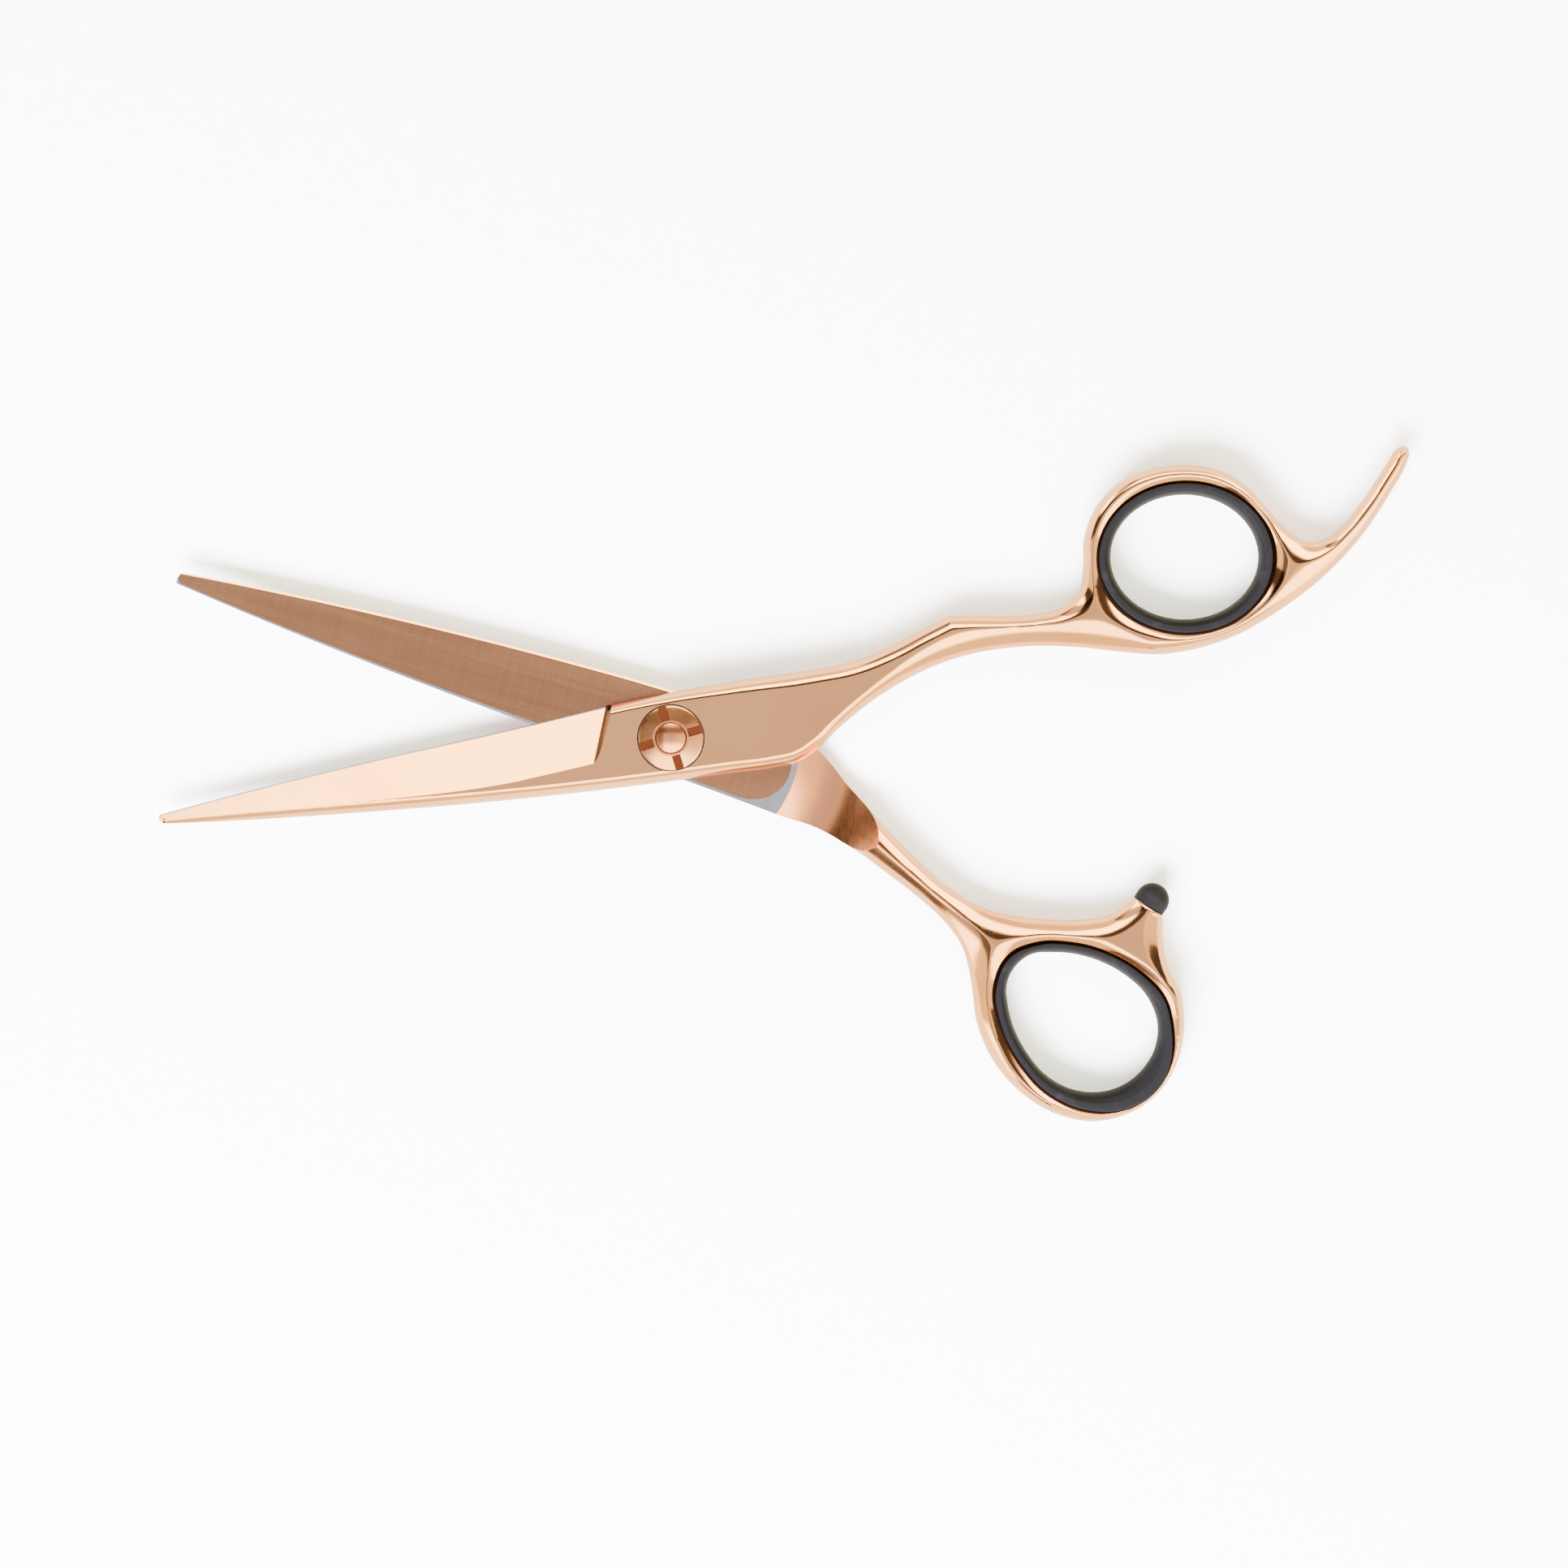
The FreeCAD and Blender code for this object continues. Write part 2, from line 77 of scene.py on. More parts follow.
BUMPER_SEAT, BUMPER_TURN = (63.35, -22.2), 56.7   # middle of the seat, and direction in degrees from +X
BUMPER_SEAT_BOX = (61.0, -23.8), (65.4, -20.8)     # the outline is square to the bumper in here
BUMPER_R, BUMPER_RISE = 2.27, 0.9  # the ball's centre is this far above the seat

# Pivot.
BUSH_R, BORE_R, BORE_FLOOR = 2.8, 4.4, 4.0
BORE_RIM = 0.08            # eased mouth of the counterbore
KEY_R = 2.9
HEAD_SEAT_R, HEAD_SEAT_TOP = 4.27, 0.82
WASHER_SEAT_R, WASHER_SEAT_FLOOR = 4.05, 2.5
HEAD_R, HEAD_H = 4.25, 0.8
POST_R, POST_TOP, DOME_H = 1.96, 6.56, 0.29
NUT_R, NUT_BORE_R, NUT_BASE, NUT_RIM, NUT_HUB = 4.3, 2.05, 5.3, 6.14, 6.5
NUT_FACE_R, NUT_HUB_R = 4.16, 2.3  # the dished face lies between these
NUT_SLOT_W, NUT_SLOT_R, NUT_SLOT_FLOOR = 1.15, 2.35, 5.55
NUT_TURN = 16.5            # direction of the first key slot, degrees from +X

# Rubber inserts: their tops, and their section from the metal (0) to the finger (1) and down from the top.
FINGER_INSERT_TOP, THUMB_INSERT_TOP = 5.45, 5.3
INSERT_SECTION = [
    (0.0, -0.5), (0.0, -0.12), (0.05, -0.02), (0.12, 0.0), (0.40, 0.02), (0.46, 0.0), (0.50, -0.12),
    (0.56, -0.2), (0.66, -0.36), (0.78, -0.7), (0.88, -1.15), (0.95, -1.65), (0.99, -2.1),
]

# Studio: light levels, their colour, and the camera in millimetres.
PATCH_LIGHT, DOME_LIGHT, KEY_POWER = 1.2, 2.0, 200.0
FAR_BOX, NEAR_BOX = 8.4, 6.2
END_BAR_SHADE, BAR_SHADE = 0.88, 0.95
NEUTRAL, WARM = (1.0, 0.97, 0.84), (1.0, 0.93, 0.52)
FLOOR_GLOW, FLOOR_MIRRORED = 0.6, 2.1
LENS, SENSOR = 135.0, 36.0
FRAME_CENTRE, FRAME_WIDTH, FRAME_Z = (14.96, -6.08), 207.9, 4.0   # what the view takes in at height FRAME_Z

# Slots of both forgings. Edges between faces of different slots stay sharp.
# SEAT faces take a darker material than the rest of the metal: painted shade in bores, seats and slots.
FORGED, GRIND, LAND, SCOOP, HOLLOW, SEAT, WALL, TURNED = range(8)


# ---- outlines read from the CAD nodes -----------------------------------------------------------
def mesh_points(node):
    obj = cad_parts[node]
    mesh = obj.data
    mesh.calc_loop_triangles()
    points = np.empty(len(mesh.vertices) * 3)
    mesh.vertices.foreach_get("co", points)
    corners = np.empty(len(mesh.loop_triangles) * 3, dtype=int)
    mesh.loop_triangles.foreach_get("vertices", corners)
    world = np.array(obj.matrix_world)
    points = points.reshape(-1, 3) @ world[:3, :3].T + world[:3, 3]
    return points / MM, corners.reshape(-1, 3)


def section(node, height):
    """Segments, shape (count, 2, 2), in which a CAD node meets a level plane."""
    points, triangles = mesh_points(node)
    p = points[triangles]
    above = p[:, :, 2] > height
    p = p[above.any(1) & ~above.all(1)]
    above = p[:, :, 2] > height
    ends = []
    for a, b in ((0, 1), (1, 2), (2, 0)):
        crossed = above[:, a] != above[:, b]
        rise = np.where(crossed, p[:, b, 2] - p[:, a, 2], 1.0)
        share = (height - p[:, a, 2]) / rise
        hit = p[:, a, :2] + share[:, None] * (p[:, b, :2] - p[:, a, :2])
        ends.append((crossed, hit))
    first = np.where(ends[0][0][:, None], ends[0][1], ends[1][1])
    last = np.where(ends[2][0][:, None], ends[2][1], ends[1][1])
    return np.stack([first, last], axis=1)


def chains(segments):
    """Orders loose segments into closed loops of points, the longest loop first."""
    segments = segments[np.linalg.norm(segments[:, 0] - segments[:, 1], axis=1) > 1e-4]
    ends = segments.reshape(-1, 2)
    gap = np.linalg.norm(ends[:, None] - ends[None], axis=2)
    gap[np.arange(len(ends)), np.arange(len(ends))] = 1e9
    partner = np.arange(len(ends)) ^ 1
    gap[np.arange(len(ends)), partner] = 1e9
    neighbour = gap.argmin(axis=1)
    loops, used = [], np.zeros(len(segments), bool)
    for seed in range(len(segments)):
        if used[seed]:
            continue
        at, points = 2 * seed, []
        while not used[at // 2]:
            used[at // 2] = True
            points.append(ends[at])
            at = neighbour[at ^ 1]
        loops.append(np.array(points))
    return sorted(loops, key=lambda loop: -perimeter(loop))


def perimeter(loop):
    return np.linalg.norm(np.roll(loop, -1, axis=0) - loop, axis=1).sum()


def even(loop, spacing):
    """The closed loop again, with points at an even spacing."""
    closed = np.vstack([loop, loop[:1]])
    run = np.concatenate([[0], np.cumsum(np.linalg.norm(np.diff(closed, axis=0), axis=1))])
    at = np.linspace(0, run[-1], int(run[-1] / spacing), endpoint=False)
    return np.stack([np.interp(at, run, closed[:, 0]), np.interp(at, run, closed[:, 1])], axis=1)


def clipped(segments, x, keep):
    """The part of the segments to the left (keep = -1) or right (keep = 1) of x."""
    order = np.argsort(segments[:, :, 0] * keep, axis=1)[:, :, None]
    segments = np.take_along_axis(segments, order, axis=1)
    segments = segments[(segments[:, 1, 0] - x) * keep > 0]
    start, end = segments[:, 0], segments[:, 1]
    share = (x - start[:, 0]) / (end[:, 0] - start[:, 0] + 1e-12)
    crossing = start + share[:, None] * (end - start)
    outside = (start[:, 0] - x) * keep < 0
    return np.stack([np.where(outside[:, None], crossing, start), end], axis=1)


def half_outline(blade, handle, side):
    """Outer outline and ring hole of one half, with the weld between its two nodes left out.

    The ground blade has its full width only next to the ride plane, and the shank only beyond the
    turned hollow, so each is read at its own height.
    """
    weld_x = min(mesh_points(handle)[0][:, 0])
    high, low = RIDE_Z + side * HALF_H / 2, RIDE_Z + side * 0.1
    segments = np.concatenate([
        clipped(section(blade, low), GROUND_TO_X, -1), clipped(section(blade, high), GROUND_TO_X, 1),
        section(handle, high),
    ])
    on_weld = (np.abs(segments[:, :, 0] - weld_x) < 0.004).all(axis=1)
    loops = chains(segments[~on_weld])
    return even(loops[0], OUTLINE_STEP), even(loops[1], OUTLINE_STEP)


# ---- forged surface -----------------------------------------------------------------------------
def smooth(low, high, value):
    t = np.clip((value - low) / (high - low), 0, 1)
    return t * t * (3 - 2 * t)


def inside(loop, x, y):
    found = np.zeros(x.shape, bool)
    for (x0, y0), (x1, y1) in zip(loop, np.roll(loop, -1, axis=0)):
        if y0 == y1:
            continue
        spans = (y0 > y) != (y1 > y)
        found ^= spans & (x < (x1 - x0) * (y - y0) / (y1 - y0) + x0)
    return found


def distance(segments, x, y):
    """Distance from each grid point to a set of segments."""
    px, py = x.ravel().astype(np.float32), y.ravel().astype(np.float32)
    best = np.full(px.shape, 1e9, np.float32)
    for (ax, ay), (bx, by) in segments:
        dx, dy = bx - ax, by - ay
        t = np.clip(((px - ax) * dx + (py - ay) * dy) / (dx * dx + dy * dy), 0, 1)
        near = (px - ax - t * dx) ** 2 + (py - ay - t * dy) ** 2
        np.minimum(best, near, out=best)
    return np.sqrt(best).reshape(x.shape)


def as_segments(loop):
    return np.stack([loop, np.roll(loop, -1, axis=0)], axis=1)


def cubic(field, x, y):
    """Catmull-Rom value and slopes of a grid field at points given in grid steps."""
    i, j = np.floor(x).astype(int), np.floor(y).astype(int)
    i, j = np.clip(i, 1, field.shape[0] - 3), np.clip(j, 1, field.shape[1] - 3)

    def weights(t):
        value = (
            (-t + 2 * t ** 2 - t ** 3) / 2, (2 - 5 * t ** 2 + 3 * t ** 3) / 2,
            (t + 4 * t ** 2 - 3 * t ** 3) / 2, (-t ** 2 + t ** 3) / 2,
        )
        slope = (
            (-1 + 4 * t - 3 * t ** 2) / 2, (-10 * t + 9 * t ** 2) / 2,
            (1 + 8 * t - 9 * t ** 2) / 2, (-2 * t + 3 * t ** 2) / 2,
        )
        return value, slope

    (wx, sx), (wy, sy) = weights(x - i), weights(y - j)
    value, slope_x, slope_y = np.zeros_like(x), np.zeros_like(x), np.zeros_like(x)
    for a in range(4):
        for b in range(4):
            f = field[i + a - 1, j + b - 1]
            value += f * wx[a] * wy[b]
            slope_x += f * sx[a] * wy[b]
            slope_y += f * wx[a] * sy[b]
    return value, slope_x, slope_y


def nets(values):
    """Surface nets: one vertex in each cell that the surface crosses, in grid steps."""
    solid = values < 0
    corners = [(a, b, c) for a in (0, 1) for b in (0, 1) for c in (0, 1)]
    shape = [n - 1 for n in values.shape]

    def part(array, offset):
        return array[tuple(slice(o, o + n) for o, n in zip(offset, shape))]

    count = sum(part(solid, c).astype(np.int8) for c in corners)
    cells = np.argwhere((count > 0) & (count < 8))
    level = np.stack([values[tuple((cells + c).T)] for c in corners], axis=1)
    total, hits = np.zeros((len(cells), 3)), np.zeros(len(cells))
    for one in range(8):
        for axis in range(3):
            if corners[one][axis]:
                continue
            other = one + (4, 2, 1)[axis]
            crossed = (level[:, one] < 0) != (level[:, other] < 0)
            gap = np.where(crossed, level[:, one] - level[:, other], 1.0)
            at = np.array(corners[one], float) + np.outer(level[:, one] / gap, np.eye(3)[axis])
            total += np.where(crossed[:, None], at, 0)
            hits += crossed
    points = cells + total / hits[:, None]
    index = np.full(shape, -1, np.int32)
    index[tuple(cells.T)] = np.arange(len(cells))
    quads = []
    for axis in range(3):
        u, v = (axis + 1) % 3, (axis + 2) % 3
        ahead = np.roll(solid, -1, axis=axis)
        edges = np.argwhere(solid != ahead)
        edges = edges[(edges[:, axis] < shape[axis]) & (edges[:, u] > 0) & (edges[:, v] > 0)]
        back_u, back_v = np.eye(3, dtype=int)[u], np.eye(3, dtype=int)[v]
        ring = [edges - back_u - back_v, edges - back_v, edges, edges - back_u]
        quad = np.stack([index[tuple(r.T)] for r in ring], axis=1)
        flip = ~solid[tuple(edges.T)]
        quad[flip] = quad[flip][:, ::-1]
        quads.append(quad)
    return points, np.concatenate(quads)


def new_object(name, points, faces, slots):
    mesh = bpy.data.meshes.new(name)
    mesh.from_pydata([tuple(p) for p in np.asarray(points) * MM], [], [tuple(f) for f in faces])
    mesh.validate()
    for material in slots:
        mesh.materials.append(material)
    obj = bpy.data.objects.new(name, mesh)
    bpy.context.scene.collection.objects.link(obj)
    return obj


def forging(name, outer, hole, flanks, half_height, slots):
    """Body whose section falls from its crest to the outline in elliptical flanks.

    flanks(x, y) gives for each set of outline segments the width of its flank.
    """
    low = outer.min(axis=0) - 5 * STEP
    high = outer.max(axis=0) + 5 * STEP
    xs = np.arange(low[0], high[0], STEP)
    ys = np.arange(low[1], high[1], STEP)
    x, y = np.meshgrid(xs, ys, indexing="ij")
    within = inside(outer, x, y)
    open_hole = inside(hole, x, y)
    total = np.zeros(x.shape)
    sets = flanks(as_segments(outer), as_segments(hole), x, y)
    reaches = [distance(segments, x, y) for segments, _, _ in sets]
    nearest = np.min(reaches, axis=0)
    for (_, width, kind), away in zip(sets, reaches):
        beyond = open_hole if kind == "hole" else ~within & (away <= nearest)
        away = np.where(beyond, -away, away)
        if kind == "hole":
            away = away + HOLE_TUCK
        total += np.clip(1 - away / width, 0, 3) ** (2 * BLEND)
    drop = np.clip(total, 0, 9 ** BLEND) ** (1 / BLEND)
    for _ in range(2):
        padded = np.pad(drop, 1, mode="edge")
        drop = (
            padded[:-2, 1:-1] + padded[2:, 1:-1] + padded[1:-1, :-2] + padded[1:-1, 2:]
            + 4 * padded[1:-1, 1:-1]
        ) / 8
    height = half_height(x, y)
    zs = np.arange(-3, HALF_H * 2 / STEP + 4) * STEP + STEP / 2
    values = ((zs - RIDE_Z)[None, None, :] / height[:, :, None]) ** 2 + drop[:, :, None] - 1
    points, quads = nets(values.astype(np.float32))
    z = zs[0] + points[:, 2] * STEP
    u, v = points[:, 0], points[:, 1]
    for _ in range(4):
        fall, slope_u, slope_v = cubic(drop, u, v)
        top = cubic(height, u, v)[0]
        error = ((z - RIDE_Z) / top) ** 2 + fall - 1
        slope_z = 2 * (z - RIDE_Z) / top ** 2
        steep = (slope_u / STEP) ** 2 + (slope_v / STEP) ** 2 + slope_z ** 2 + 1e-6
        move = np.clip(error / steep, -0.2, 0.2)
        u = u - move * slope_u / STEP / STEP
        v = v - move * slope_v / STEP / STEP
        z = z - move * slope_z
    points = np.stack([xs[0] + u * STEP, ys[0] + v * STEP, z], axis=1)
    return new_object(name, points, quads, slots)


# ---- cutters ------------------------------------------------------------------------------------
def lathe(name, profile, slots, indices, steps=256):
    """Solid of revolution about the pivot axis from (radius, z) points, first and last on the axis."""
    points, faces, face_slots = [], [], []
    points.append((0, 0, profile[0][1]))
    points.append((0, 0, profile[-1][1]))
    rings = []
    for radius, z in profile[1:-1]:
        rings.append(len(points))
        for k in range(steps):
            turn = 2 * math.pi * k / steps
            points.append((radius * math.cos(turn), radius * math.sin(turn), z))
    for k in range(steps):
        n = (k + 1) % steps
        faces.append((0, rings[0] + k, rings[0] + n))
        face_slots.append(indices[0])
        for r, (here, there) in enumerate(zip(rings, rings[1:])):
            faces.append((here + k, there + k, there + n, here + n))
            face_slots.append(indices[r + 1])
        faces.append((rings[-1] + k, 1, rings[-1] + n))
        face_slots.append(indices[-1])
    return solid(name, points, faces, slots, face_slots)


def solid(name, points, faces, slots, face_slots):
    """Closed mesh with its normals turned outwards."""
    obj = new_object(name, points, faces, slots)
    obj.data.polygons.foreach_set("material_index", face_slots)
    p = np.asarray(points, float)
    volume = 0.0
    for face in faces:
        for a, b in zip(face[1:], face[2:]):
            volume += np.dot(p[face[0]], np.cross(p[a], p[b]))
    if volume < 0:
        obj.data.flip_normals()
    return obj


def prism(name, loop, low, high, slots, slot):
    count = len(loop)
    points = [(x, y, low) for x, y in loop] + [(x, y, high) for x, y in loop]
    faces = [tuple(range(count)), tuple(range(2 * count - 1, count - 1, -1))]
    for k in range(count):
        n = (k + 1) % count
        faces.append((k, k + count, n + count, n))
    return solid(name, points, faces, slots, [slot] * len(faces))


def loft(name, rings, slots, indices, wall_from):
    """Closed solid through rings of points that match.

    indices holds the slot of each side. From the ring wall_from on, the sides are an end wall.
    """
    count = len(rings[0])
    points = [p for ring in rings for p in ring]
    faces = [tuple(range(count)), tuple(range(len(points) - 1, len(points) - count - 1, -1))]
    face_slots = [indices[0], indices[0]]
    for r in range(len(rings) - 1):
        for k in range(count):
            n = (k + 1) % count
            a, b = r * count, (r + 1) * count
            faces.append((a + k, b + k, b + n, a + n))
            # End-wall faces take the WALL slot, whose near-black colour is painted shade.
            face_slots.append(indices[k] if r < wall_from else WALL)
    return solid(name, points, faces, slots, face_slots)


def cut(obj, cutter):
    """Takes the cutter out of obj for good."""
    modifier = obj.modifiers.new("cut", "BOOLEAN")
    modifier.operation = "DIFFERENCE"
    modifier.object = cutter
    modifier.solver = "MANIFOLD"
    result = bpy.data.meshes.new_from_object(obj.evaluated_get(bpy.context.evaluated_depsgraph_get()))
    obj.modifiers.clear()
    obj.data = result
    bpy.data.objects.remove(cutter)


def shade(obj, angle=60):
    """Smooth shading that stays sharp where two slots meet and at steep edges."""
    mesh = obj.data
    mesh.shade_smooth()
    mesh.set_sharp_from_angle(angle=math.radians(angle))
    slots = np.empty(len(mesh.polygons), int)
    mesh.polygons.foreach_get("material_index", slots)
    starts = np.empty(len(mesh.polygons), int)
    mesh.polygons.foreach_get("loop_start", starts)
    totals = np.empty(len(mesh.polygons), int)
    mesh.polygons.foreach_get("loop_total", totals)
    edges = np.empty(len(mesh.loops), int)
    mesh.loops.foreach_get("edge_index", edges)
    owner = np.repeat(slots, totals)
    low = np.full(len(mesh.edges), 99)
    high = np.full(len(mesh.edges), -1)
    np.minimum.at(low, edges, owner)
    np.maximum.at(high, edges, owner)
    sharp = np.empty(len(mesh.edges), bool)
    flags = mesh.attributes.get("sharp_edge")
    flags.data.foreach_get("value", sharp)
    sharp |= (low != high)
    flags.data.foreach_set("value", sharp)


# ---- the two halves -----------------------------------------------------------------------------
def towards(points, x):
    """Height of a polyline at x, going on straight past its ends."""
    (xa, ya), (xb, yb) = (points[:2] if x <= points[0][0] else points[-2:])
    if points[0][0] < x < points[-1][0]:
        return np.interp(x, [p[0] for p in points], [p[1] for p in points])
    return ya + (yb - ya) * (x - xa) / (xb - xa)


def between(outline, x0, x1, upper):
    """The upper or lower side of an outline between two x, as points from left to right."""
    a, b = outline, np.roll(outline, -1, axis=0)
    side = []
    for x in np.linspace(x0, x1, 60):
        hits = (a[:, 0] > x) != (b[:, 0] > x)
        y = a[hits, 1] + (x - a[hits, 0]) * (b[hits, 1] - a[hits, 1]) / (b[hits, 0] - a[hits, 0])
        side.append((x, y.max() if upper else y.min()))
    return side


def ride_cutter(slots, side):
    """Everything on the far side of the ride plane near the pivot, with the turned hollow beyond it."""
    floor = RIDE_Z + side * RIDE_GAP
    middle = (CROTCH_R + MOON_R) / 2
    centre_z = floor - side * math.sqrt(SCOOP_R ** 2 - ((CROTCH_R - MOON_R) / 2) ** 2)
    profile = [(0, floor), (MOON_R * 0.5, floor), (MOON_R, floor)]
    indices = [LAND, LAND]
    start = math.atan2(abs(floor - centre_z), MOON_R - middle)
    end = math.asin((abs(floor - centre_z) - SCOOP_DEPTH) / SCOOP_R)
    steps = 28
    for k in range(1, steps + 1):
        turn = start + (end - start) * k / steps
        profile.append((middle + SCOOP_R * math.cos(turn), centre_z + side * SCOOP_R * math.sin(turn)))
        indices.append(SCOOP)
    profile += [(profile[-1][0], floor - side * BEYOND), (0, floor - side * BEYOND)]
    indices += [SCOOP, SCOOP, SCOOP]
    cutter = lathe("ride_cutter", profile, slots, indices[:len(profile) - 1])
    cut(cutter, prism("blade_side", [(-60, -60), (0, -60), (0, 60), (-60, 60)], -20, 20, slots, LAND))
    return cutter


def blade_cutter(slots, side, x0, x1):
    """The far side of the ride plane along the blade."""
    floor = RIDE_Z + side * RIDE_GAP
    low, high = sorted((floor, floor - side * BEYOND))
    return prism("blade_cutter", [(x0, -40), (x1, -40), (x1, 40), (x0, 40)], low, high, slots, LAND)


def grind_cutter(slots, slot, edge, side, lean, root, rises, plunge):
    """Wedge that leaves a bevel rising from the cutting edge, with a hollow end wall at the plunge.

    side is +1 on the upper half, lean +1 where the edge lies on the +Y side, root the height of the
    bevel above the ride plane at the edge, and rises its slope at the tip and at the plunge.
    """
    (heel_x, heel_y), (spine_x, spine_y) = plunge
    slant = (spine_x - heel_x) / (spine_y - heel_y)
    stations = [(x, 0.0) for x in np.linspace(edge[0][0] - 6, heel_x, 40)]
    wall_from = len(stations) - 1
    stations += [(heel_x + run, climb) for run, climb in PLUNGE_WALL]
    rings = []
    for x, climb in stations:
        share = (min(x, heel_x) - edge[0][0]) / (heel_x - edge[0][0])
        rise = rises[0] + (rises[1] - rises[0]) * share
        y, far = towards(edge, x), GRIND_REACH
        corners = [(2.0, climb - rise * 2), (-far, climb + rise * far), (2.0, climb + rise * far * 1.5)]
        rings.append([
            (x + slant * lean * c, y + lean * c, RIDE_Z + side * (root + up)) for c, up in corners
        ])
    return loft("grind_cutter", rings, slots, [slot] * 3, wall_from)


def ground(half, slots, edge, spine, side, lean, plunge):
    """Grinds the bevel, hones its edge, and eases the corner where the spine meets the inner face."""
    cut(half, grind_cutter(slots, GRIND, edge, side, lean, BEVEL_ROOT, BEVEL_RISE, plunge))
    cut(half, grind_cutter(slots, LAND, edge, side, lean, HONE_ROOT, (HONE_RISE, HONE_RISE), plunge))
    under = [(x + EASE_ON, y) for x, y in plunge]
    cut(half, grind_cutter(slots, FORGED, spine, -side, -lean, -EASE_DEPTH, (EASE_RISE, EASE_RISE), under))


def bored(obj, radius, low, high, slots, chamfer=0.0):
    """Bores obj on the pivot axis, with an eased mouth one millimetre below high."""
    profile = [(0, low), (radius, low), (radius, high - chamfer - 1), (radius + chamfer, high - 1)]
    profile += [(radius + chamfer, high), (0, high)]
    # The bore's faces take the SEAT slot, whose darker colour is painted shade.
    cut(obj, lathe("bore", profile, slots, [SEAT] * 5, steps=128))


def around(x, y, centre, reach):
    """1 at a point of the plan, falling to 0 at reach."""
    return 1 - smooth(0, reach, np.hypot(x - centre[0], y - centre[1]))


def blade_taper(x):
    """How much lower the spine is at x than at the pivot."""
    return TAPER * np.clip((TAPER_FROM - x) / TAPER_RUN, 0, 1) ** 1.5


def finger_half(slots):
    outer, hole = half_outline("finger_blade", "finger_handle", +1)

    def flanks(sides, holes, x, y):
        lower = lower_side(sides, (-68.0, -11.0), (97.0, 38.85))
        web, rest = around(x, y, FINGER_WEB, 8), around(x, y, FINGER_REST, 10)
        low_width = 1.5 + 2.3 * smooth(24, 40, x) - 2.0 * smooth(56, 64, x) + 0.5 * smooth(76, 86, x)
        low_width += 1.0 * web + 1.5 * rest - 0.5 * smooth(88, 94, x)
        high_width = 1.3 + 0.8 * smooth(-8, 20, x) - 0.5 * smooth(50, 58, x) + 0.2 * smooth(88, 94, x)
        high_width += 1.2 * web + 2.2 * rest
        hole_width = 1.9 + 1.2 * web + 1.5 * rest
        return [(sides[lower], low_width, "outer"), (sides[~lower], high_width, "outer"),
                (holes, hole_width, "hole")]

    def half_height(x, y):
        handle = -0.35 * smooth(26, 40, x) + 0.2 * smooth(48, 58, x) - 0.5 * smooth(86, 98, x)
        return HALF_H + handle - blade_taper(x)

    half = forging("finger_forging", outer, hole, flanks, half_height, slots)
    edge = between(outer, -67.0, GROUND_END_X, True)
    cut(half, ride_cutter(slots, +1))
    cut(half, blade_cutter(slots, +1, -80, 2))
    ground(half, slots, edge, between(outer, -66.8, EASE_TO_X, False), +1, +1, FINGER_PLUNGE)
    pocket = [(x, y - land_width(x)) for x, y in edge]
    pocket += spline([
        (-8, 4.0), (0, 5.4), (6, 6.4), (11, 7.0), (14, 5.9), (15.8, 3), (16, -1), (14.5, -5), (12, -9),
    ])
    pocket += [(12, -9), (-70, -20)]
    floor = RIDE_Z + RIDE_GAP
    cut(half, prism("pocket", pocket, floor - 1, floor + HOLLOW_DEPTH, slots, HOLLOW))
    bored(half, BUSH_R, RIDE_Z - 2, BORE_FLOOR + 1, slots)
    bored(half, BORE_R, BORE_FLOOR, RIDE_Z + HALF_H + 1, slots, chamfer=BORE_RIM)
    shade(half)
    return half


def lower_side(sides, left, right):
    """Marks the segments on the lower way round from the left point to the right one."""
    middle = sides.mean(axis=1)
    a = np.linalg.norm(middle - np.array(left), axis=1).argmin()
    b = np.linalg.norm(middle - np.array(right), axis=1).argmin()
    index = np.arange(len(middle))
    one = (index >= min(a, b)) & (index < max(a, b))
    return one if middle[one, 1].mean() < middle[~one, 1].mean() else ~one


